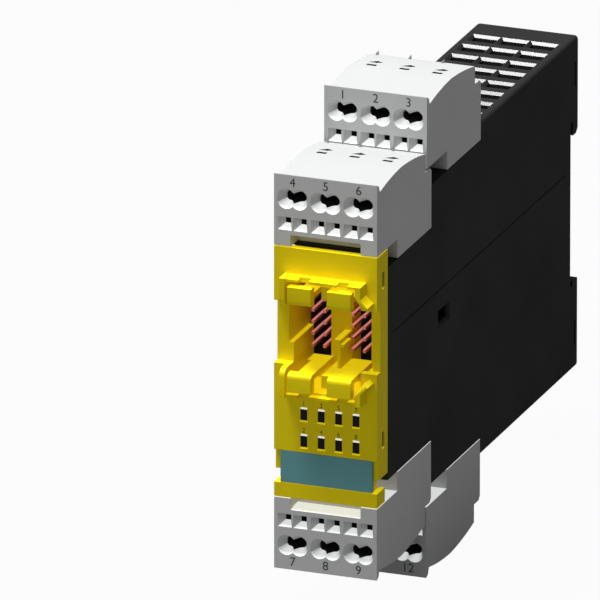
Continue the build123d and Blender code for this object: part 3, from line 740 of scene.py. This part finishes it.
def add_block_housings(finish, lower_painted_light_finish, hollow):
    """Four copies of one housing, the lower two turned over and finished in the grey whose upturned faces
    glow with painted light.
    """
    first = block_housing(finish, hollow)
    for place, edge in BLOCK_EDGES.items():
        piece = copied(first)
        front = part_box(f"{place}_terminal_block")[0][1]
        if edge < 0:
            piece.data.transform(Matrix.Diagonal((1.0, 1.0, -1.0, 1.0)))
            piece.data.flip_normals()
        piece.data.transform(Matrix.Translation((0.0, front, edge * MM)))
        finished_piece(piece, f"{place}_block_housing", finish if edge > 0 else lower_painted_light_finish,
                       BLOCK_BODIES.get(place, "module"), f"{place}_terminal_block")
    bpy.data.objects.remove(first, do_unlink=True)


# Front cover and its plug interface


def from_middle(x, y, heights):
    """A block whose heights are counted from the middle of the plug interface."""
    return block(x, y, (MIDDLE_Z + heights[0], MIDDLE_Z + heights[1]))


def turned_over(pieces):
    """The same pieces mirrored over the middle of the plug interface."""
    over = Matrix.Translation((0, 0, 2 * MIDDLE_Z * MM)) @ Matrix.Diagonal((1.0, 1.0, -1.0, 1.0))
    for piece in pieces:
        piece.data.transform(over)
        piece.data.flip_normals()
    return pieces


def bracket():
    """The frame above the bay: bar, ledges, straight leg with a round nose and flared leg."""
    front = FRONT - BRACKET_REACH
    back = FRONT + COVER_SKIN
    half = BRACKET_HALF_WIDTH
    inside = half - BRACKET_LEG
    top = RECESS_HALF_HEIGHT + BRACKET_BAR
    bay_edge = BAY_TOP - MIDDLE_Z
    left = from_middle((-half, -inside), (front, back + BAY_SETBACK), (bay_edge, top))
    softened(left, (-half + BRACKET_LEG / 2, front, MIDDLE_Z + bay_edge), BRACKET_NOSE, NOSE_STEPS)
    parts = [left, from_middle((-half, half), (FRONT - BAR_REACH, back), (top - BRACKET_BAR, top))]
    ledge_z = (top - LEDGE_STEP - LEDGE_HEIGHT, top - LEDGE_STEP)
    parts += [from_middle(span, (FRONT - LEDGE_REACH, back), ledge_z) for span in LEDGE_SPANS]
    wing_end = (half + WING_RUN, WING_START - WING_RUN)
    tip = (wing_end[0] - WING_SHIFT, wing_end[1] - WING_SHIFT)
    root = (inside, WING_START + half - inside - 2 * WING_SHIFT)
    outline = [(inside, top), (half, top), (half, WING_START), wing_end, tip, root]
    flared = bar([(x, MIDDLE_Z + z) for x, z in outline], (front, back))
    lead_in = ((tip[0] + root[0]) / 2, front, MIDDLE_Z + (tip[1] + root[1]) / 2)
    return parts + [softened(flared, lead_in, WING_BEVEL, 1)]


def latch_tongues(plate):
    """Two springy tongues with hooked noses, and the saddle between them."""
    front = FRONT - TONGUE_REACH
    nose_back = front + TONGUE_NOSE
    back = front + TONGUE_LENGTH
    neck_back = nose_back + TONGUE_NECK_LENGTH
    plate_z = (plate, plate + TONGUE_PLATE)
    parts = []
    for x in TONGUE_XS:
        left = x - TONGUE_WIDTH / 2
        right = x + TONGUE_WIDTH / 2
        nose = from_middle((left, right), (front, nose_back), (TONGUE_INNER, TONGUE_OUTER))
        parts.append(softened(nose, (x, front, MIDDLE_Z + TONGUE_INNER), TONGUE_ROUND, NOSE_STEPS))
        parts.append(from_middle((left + TONGUE_NECK, right), (nose_back - PROUD, back), plate_z))
        parts.append(from_middle((left + TONGUE_NECK / 2, right), (neck_back, back), plate_z))
        root_z = (plate, RECESS_HALF_HEIGHT + PROUD)
        parts.append(from_middle((left + TONGUE_NECK, right), (back - TONGUE_ROOT, back), root_z))
    neck_left = TONGUE_XS[1] - TONGUE_WIDTH / 2
    saddle_front = front + SADDLE_SETBACK
    low = plate + SADDLE_DROP
    parts.append(from_middle((SADDLE_LEFT, neck_left + TONGUE_NECK), (saddle_front, back), (low, plate_z[1])))
    post_y = (saddle_front, saddle_front + TONGUE_PLATE)
    parts.append(from_middle((SADDLE_LEFT, neck_left - SADDLE_GAP), post_y, (low, low + SADDLE_WALL)))
    return parts


def interface_guides():
    """The wall left of the plugs, the web between the headers and the ribbed guide in front of it."""
    floor = FRONT + BAY_SETBACK
    header_front = BOARD_FRONT - HEADER_DEPTH
    web_front = FRONT - TONGUE_REACH + TONGUE_LENGTH
    low = MIDDLE_Z - RECESS_HALF_HEIGHT - PROUD
    rib_left, rib_right = RIB_X
    rib_y = (floor + RIB_SETBACK, web_front + PROUD)
    rib_low = MIDDLE_Z - TONGUE_INNER - SADDLE_DROP
    shelf_y = (rib_y[0], rib_y[0] + RIB_SHELF_LENGTH)
    shelf_top = RIB_TOP - RIB_SHELF_DROP
    wall_x = (-RECESS_HALF_WIDTH - PROUD, GUIDE_WIDTH - RECESS_HALF_WIDTH)
    half = RECESS_HALF_HEIGHT + PROUD
    return [
        block(wall_x, (floor, floor + GUIDE_LENGTH), (low, GUIDE_TOP)),
        from_middle((-WEB_HALF_WIDTH, WEB_HALF_WIDTH), (web_front, header_front), (-half, half)),
        block(RIB_X, rib_y, (rib_low, RIB_TOP)),
        block((rib_left - RIB_FLANGE, rib_left + PROUD), rib_y, (RIB_TOP - RIB_FLANGE_HEIGHT, RIB_TOP)),
        block((rib_right - PROUD, rib_right + RIB_SHELF_WIDTH), shelf_y,
              (shelf_top - RIB_FLANGE_HEIGHT, shelf_top)),
    ]


def cover_hollows():
    """What is cut from the plain cover before its interface is added."""
    inside_x = (COVER_WALL - HALF_WIDTH, HALF_WIDTH - COVER_WALL)
    inside_z = COVER_HALF_HEIGHT - COVER_WALL
    bay_floor = FRONT + BAY_SETBACK
    bay_skin = bay_floor + COVER_SKIN
    back = FRONT + COVER_DEPTH + PAST
    skin = FRONT + COVER_SKIN
    wide = (-HALF_WIDTH - PAST, HALF_WIDTH + PAST)
    return [
        block(inside_x, (bay_skin, back), (-inside_z, inside_z)),
        block(inside_x, (skin, bay_skin + PROUD), (BAY_TOP + COVER_SKIN, inside_z)),
        block(inside_x, (skin, bay_skin + PROUD), (LABEL_Z[1] + COVER_WALL, BAY_BOTTOM - COVER_SKIN)),
        block(wide, (FRONT - PAST, bay_floor), (BAY_BOTTOM, BAY_TOP)),
    ]


def interface_openings():
    """The recess behind the skin, its mouth between the legs, and the relief right of the bay."""
    half = RECESS_HALF_WIDTH
    height = (-RECESS_HALF_HEIGHT, RECESS_HALF_HEIGHT)
    mouth_half = BRACKET_HALF_WIDTH - BRACKET_LEG
    skin = FRONT + COVER_SKIN
    bay_floor = FRONT + BAY_SETBACK
    relief_y = (bay_floor - PROUD, bay_floor + COVER_SKIN)
    return [
        from_middle((-half, half), (skin, BOARD_FRONT), height),
        from_middle((-mouth_half, mouth_half), (FRONT - PAST, skin + PROUD), height),
        block((-half, half + RECESS_RELIEF), relief_y, (BAY_BOTTOM, BAY_TOP)),
    ]


def window_cuts():
    """Each status window, with a wider sloping sill below it."""
    through = (FRONT - PAST, FRONT + COVER_SKIN + PAST)
    cutters = []
    for x in WINDOW_XS:
        window_x = (x - WINDOW_WIDTH / 2, x + WINDOW_WIDTH / 2)
        for z in WINDOW_ZS:
            low = z - WINDOW_HEIGHT / 2
            cutters.append(block(window_x, through, (low, low + WINDOW_HEIGHT)))
            sill = [(FRONT - PROUD, low + PROUD), (FRONT - PROUD, low - SILL), (FRONT + SILL, low - PROUD),
                    (FRONT + SILL, low + PROUD)]
            cutters.append(slab(sill, (window_x[0] - SILL_OVERHANG, window_x[1] + SILL_OVERHANG)))
    return cutters


def edge_cuts():
    """The label pocket, the grip gaps, the side notches and the snap slots."""
    wide = (-HALF_WIDTH - PAST, HALF_WIDTH + PAST)
    cutters = [block(wide, (FRONT - PAST, FRONT + LABEL_DEPTH), LABEL_Z)]
    skin = FRONT + COVER_SKIN
    back = FRONT + COVER_DEPTH + PAST
    cutters.append(block(wide, (FRONT + FOOT_DEPTH, back), (-COVER_HALF_HEIGHT - PAST, NOTCH_Z[1])))
    slot_y = [FRONT + depth for depth in SIDE_SLOT_DEPTHS]
    for side in (-1, 1):
        wall_z = sorted((side * (COVER_HALF_HEIGHT - COVER_WALL - PROUD), side * (COVER_HALF_HEIGHT + PAST)))
        cutters.append(block((-GRIP_OPEN_HALF, GRIP_OPEN_HALF), (skin, back), wall_z))
        notch_x = sorted((side * (HALF_WIDTH - NOTCH_WIDTH), side * (HALF_WIDTH + PAST)))
        cutters.append(block(notch_x, (FRONT - PAST, back), NOTCH_Z))
        slot_x = sorted((side * (HALF_WIDTH - COVER_WALL - PROUD), side * (HALF_WIDTH + PAST)))
        for top in SIDE_SLOT_TOPS:
            cutters.append(block(slot_x, slot_y, (top - SIDE_SLOT_HEIGHT, top)))
    return cutters


def add_front_cover(finish):
    """The yellow cover: hollow shell, recess tube behind the bay, plug interface, windows and edge cuts."""
    cover = block((-HALF_WIDTH, HALF_WIDTH), (FRONT, FRONT + COVER_DEPTH),
                  (-COVER_HALF_HEIGHT, COVER_HALF_HEIGHT))
    worked(cover, cover_hollows(), "DIFFERENCE")
    outer = RECESS_HALF_WIDTH + RECESS_WALL
    tube_height = RECESS_HALF_HEIGHT + RECESS_WALL
    tube_y = (FRONT + COVER_SKIN / 2, BOARD_FRONT - HEADER_DEPTH + RECESS_WALL)
    bay = block((-outer, outer), (FRONT - PAST, FRONT + BAY_SETBACK), (BAY_BOTTOM, BAY_TOP))
    tube = from_middle((-outer, outer), tube_y, (-tube_height, tube_height))
    worked(tube, [bay], "DIFFERENCE")
    worked(cover, [tube], "UNION")
    worked(cover, interface_openings(), "DIFFERENCE")
    upper = bracket() + latch_tongues(UPPER_PLATE)
    lower = turned_over(bracket() + latch_tongues(LOWER_PLATE))
    worked(cover, upper + lower + interface_guides(), "UNION")
    worked(cover, window_cuts() + edge_cuts(), "DIFFERENCE")
    finished_piece(cover, "cover_shell", finish, "module", "front_cover")


def add_header_bodies(finish):
    """The black bodies behind the plugs, which close the back of the recess."""
    front = BOARD_FRONT - HEADER_DEPTH
    for side, x in (("left", (-RECESS_HALF_WIDTH + HEADER_FIT, -HEADER_FIT)),
                    ("right", (HEADER_FIT, RECESS_HALF_WIDTH - HEADER_FIT))):
        body = from_middle(x, (front, BOARD_FRONT), (-HEADER_HALF_HEIGHT, HEADER_HALF_HEIGHT))
        for edge_x in x:
            softened(body, (edge_x, front, MIDDLE_Z), HEADER_BEVEL, 1)
        finished_piece(body, f"{side}_header_body", finish, "module", f"{side}_pin_header")


def add_snap_tabs(finish):
    """Tabs of the housing behind the cover's side walls, with a nose in each side slot."""
    y = [FRONT + depth for depth in TAB_DEPTHS]
    nose_y = (FRONT + SIDE_SLOT_DEPTHS[0] + PROUD, FRONT + SIDE_SLOT_DEPTHS[1] - PROUD)
    number = 0
    for top in SIDE_SLOT_TOPS:
        z = (top - SIDE_SLOT_HEIGHT - TAB_MARGIN, top)
        nose_z = (top - SIDE_SLOT_HEIGHT + SNAP_NOSE_SHORT, top - PROUD)
        for side in (-1, 1):
            number += 1
            tab = block(sorted((side * TAB_X[0], side * TAB_X[1])), y, z)
            nose = block(sorted((side * SNAP_NOSE_X[0], side * SNAP_NOSE_X[1])), nose_y, nose_z)
            worked(tab, [nose], "UNION")
            finished_piece(tab, f"snap_tab_{number}", finish, "module")


def add_gap_rib(finish):
    """The housing's rib behind the grip gap above the cover."""
    y = [FRONT + depth for depth in GAP_RIB_DEPTHS]
    z = (COVER_HALF_HEIGHT - GAP_RIB_HEIGHT, COVER_HALF_HEIGHT)
    rib = block((-GAP_RIB_HALF, GAP_RIB_HALF), y, z)
    softened(rib, (0.0, y[0], z[1]), GAP_RIB_BEVEL, 1)
    finished_piece(rib, "gap_rib", finish, "module")


def add_latch_spring(finish):
    """The latch's spring, copied from the solids with its close corners merged."""
    spring = copied(nodes["latch_spring"])
    spring.parent = None
    spring.data.transform(nodes["latch_spring"].matrix_world)
    spring.matrix_world = Matrix.Identity(4)
    alone(spring)
    bpy.ops.object.mode_set(mode="EDIT")
    bpy.ops.mesh.select_all(action="SELECT")
    bpy.ops.mesh.remove_doubles(threshold=MERGE * MM)
    bpy.ops.object.mode_set(mode="OBJECT")
    finished_piece(spring, "coiled_latch_spring", finish, "module", "latch_spring")
    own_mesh(spring)


def window_pane():
    """The smoked face of a light guide, in the first window."""
    low = WINDOW_ZS[0] - WINDOW_HEIGHT / 2 + PANE_GAP
    half = WINDOW_WIDTH / 2 - PANE_GAP
    x = (WINDOW_XS[0] - half, WINDOW_XS[0] + half)
    y = (FRONT + PANE_SETBACK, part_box("light_guide")[0][1] / MM + PROUD)
    return block(x, y, (low, low + WINDOW_HEIGHT - 2 * PANE_GAP))


def window_strip():
    """A painted highlight on the upper edge of a light guide, in the first window: a white sloped strip that
    glows.
    """
    top = WINDOW_ZS[0] + WINDOW_HEIGHT / 2 - PANE_GAP
    half = WINDOW_WIDTH / 2 - PANE_GAP
    x = (WINDOW_XS[0] - half, WINDOW_XS[0] + half)
    back = FRONT + PANE_SETBACK
    return slab([(back + PROUD, top), (back, top), (back - STRIP_DEPTH, top - STRIP_HEIGHT),
                 (back + PROUD, top - STRIP_HEIGHT)], x)


def add_to_windows(first, name, finish):
    """A copy of the first window's piece in each window."""
    number = 0
    for z in WINDOW_ZS:
        for x in WINDOW_XS:
            number += 1
            piece = copied(first)
            shift = Vector((x - WINDOW_XS[0], 0.0, z - WINDOW_ZS[0])) * MM
            piece.data.transform(Matrix.Translation(shift))
            finished_piece(piece, f"{name}_{number}", finish, "module")
    bpy.data.objects.remove(first, do_unlink=True)


def print_number(number, name, place, cap_height, finish, body):
    """A printed number that stands upright on a front face."""
    bpy.ops.object.select_all(action="DESELECT")
    bpy.ops.object.text_add(location=(0.0, 0.0, 0.0))
    label = bpy.context.object
    label.data.body = str(number)
    label.data.size = cap_height / CAP_SHARE * MM
    label.data.align_x = "CENTER"
    label.data.align_y = "CENTER"
    label.data.extrude = INK / 2 * MM
    label.data.resolution_u = TEXT_STEPS
    bpy.ops.object.convert(target="MESH")
    label = bpy.context.object
    label.name = name
    label.rotation_euler = (math.pi / 2, 0.0, 0.0)
    label.location = (place[0] * MM, (place[1] - INK / 2) * MM, place[2] * MM)
    bpy.ops.object.transform_apply(location=True, rotation=True, scale=False)
    label.data.materials.append(finish)
    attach(label, body)


def number_blocks(finish):
    """Terminal numbers on each block, above its wire entries or below them on the lower blocks."""
    number = 0
    for place, edge in BLOCK_EDGES.items():
        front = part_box(f"{place}_terminal_block")[0][1] / MM
        z = edge - math.copysign(BLOCK_TEXT_DROP, edge)
        for x in POLE_XS:
            number += 1
            print_number(number, f"terminal_number_{number}", (x, front, z), BLOCK_CAP, finish,
                         BLOCK_BODIES.get(place, "module"))


def number_windows(finish):
    """Numbers over the windows, counted down each column."""
    for column, x in enumerate(WINDOW_XS):
        for row, z in enumerate(WINDOW_ZS):
            number = column * len(WINDOW_ZS) + row + 1
            place = (x, FRONT, z + WINDOW_HEIGHT / 2 + WINDOW_TEXT_RISE)
            print_number(number, f"window_number_{number}", place, WINDOW_CAP, finish, "module")


bpy.context.scene.view_settings.view_transform = "Standard"
place_camera()
set_world()
place_lamp("key", KEY_WAY, KEY_POWER)
place_lamp("fill", FILL_WAY, FILL_POWER)
lay_floor()

finishes = {
    "housing": moulded("housing_black", (0.028, 0.028, 0.028), mottle=0.12, rounding=0.25, gloss=0.03,
                       polished_slope=(0.55, 0.55, 1.35)),
    # The cover's faces that turn up glow with painted light, so that its recessed ledges are as bright as its
    # outer ones.
    "cover": moulded("cover_yellow", (0.86, 0.69, 0.008), mottle=0.03, painted_light_slope=(0.6, -0.5, 0.6)),
    "label": moulded("label_teal", (0.141, 0.35, 0.366), 0.55),
    # The upper blocks' grey: its faces that turn up and forward, the funnel floors among them, glow with
    # painted light.
    "block": moulded("block_grey", (0.57, 0.58, 0.575), mottle=0.03, painted_light_slope=(0.3, 0.27, 1.4)),
    # The same grey once more, for the lower blocks: all its faces that turn up glow with painted light in
    # place of the light that the cover's shadow takes.
    "lower_block": moulded("block_grey", (0.57, 0.58, 0.575), mottle=0.03, painted_light_slope=(0.3, -0.5, 1.1)),
    # Near-black painted shade inside the grey blocks: their bores, chambers and marks.
    "hollow": moulded("block_inside_painted_shade", (0.03, 0.03, 0.03), mottle=0.05),
    "guide": moulded("guide_dark", (0.012, 0.01, 0.018), 0.25, mottle=0.02, gloss=0.1),
    # White for the status lights and the window strips; its faces that turn up and forward glow with painted
    # light.
    "light": moulded("light_white", (0.92, 0.92, 0.90), 0.3, mottle=0.02, painted_light_slope=(0.2, 0.5, 1.6)),
    "board": moulded("board_green", (0.03, 0.16, 0.08), 0.35, mottle=0.08),
    "black": moulded("connector_black", (0.012, 0.012, 0.013), mottle=0.05),
    "sleeve": moulded("capacitor_sleeve", (0.04, 0.05, 0.1), 0.3, mottle=0.03),
    "core": moulded("coil_core", (0.18, 0.17, 0.16), 0.7, mottle=0.1),
    "latch": moulded("latch_black", (0.02, 0.02, 0.02), 0.45, mottle=0.08),
    "steel": drawn_metal("spring_steel", (0.6, 0.6, 0.6), 0.32),
    # The pins' faces that turn up glow with painted light.
    "pins": drawn_metal("pin_copper", (0.64, 0.2, 0.2), 0.5, painted_light_slope=(0.5, -0.5, 0.9)),
    "bars": drawn_metal("bar_copper", (0.75, 0.5, 0.35), 0.35),
}
worn_by = {
    "housing": "housing", "front_cover": "cover", "label_plate": "label", "light_guide": "guide",
    "status_lights": "light", "front_board": "board", "main_board": "board", "board_connector": "black",
    "processors": "black", "capacitors": "sleeve", "output_drivers": "black", "supply_coil": "core",
    "rail_latch": "latch", "latch_spring": "steel",
}
worn_by_ending = {
    "terminal_block": "block", "contact_bars": "bars", "plug_blades": "bars", "clamp_springs": "steel",
    "header_pins": "pins", "pin_header": "black", "blade_strip": "black",
}
for name, piece in nodes.items():
    ending = "_".join(name.split("_")[-2:])
    finish = finishes[worn_by.get(name) or worn_by_ending[ending]]
    for slot in piece.material_slots:
        slot.material = finish

add_front_cover(finishes["cover"])
add_header_bodies(finishes["black"])
add_block_housings(finishes["block"], finishes["lower_block"], finishes["hollow"])
add_snap_tabs(finishes["housing"])
add_gap_rib(finishes["housing"])
add_latch_spring(finishes["steel"])
add_to_windows(window_pane(), "window_pane", finishes["guide"])
# White strips at the top of each window: painted highlights of the light guides.
add_to_windows(window_strip(), "window_strip", finishes["light"])
number_blocks(printed_ink("grey_ink", (0.045, 0.05, 0.055)))
number_windows(printed_ink("brown_ink", (0.10, 0.08, 0.01)))
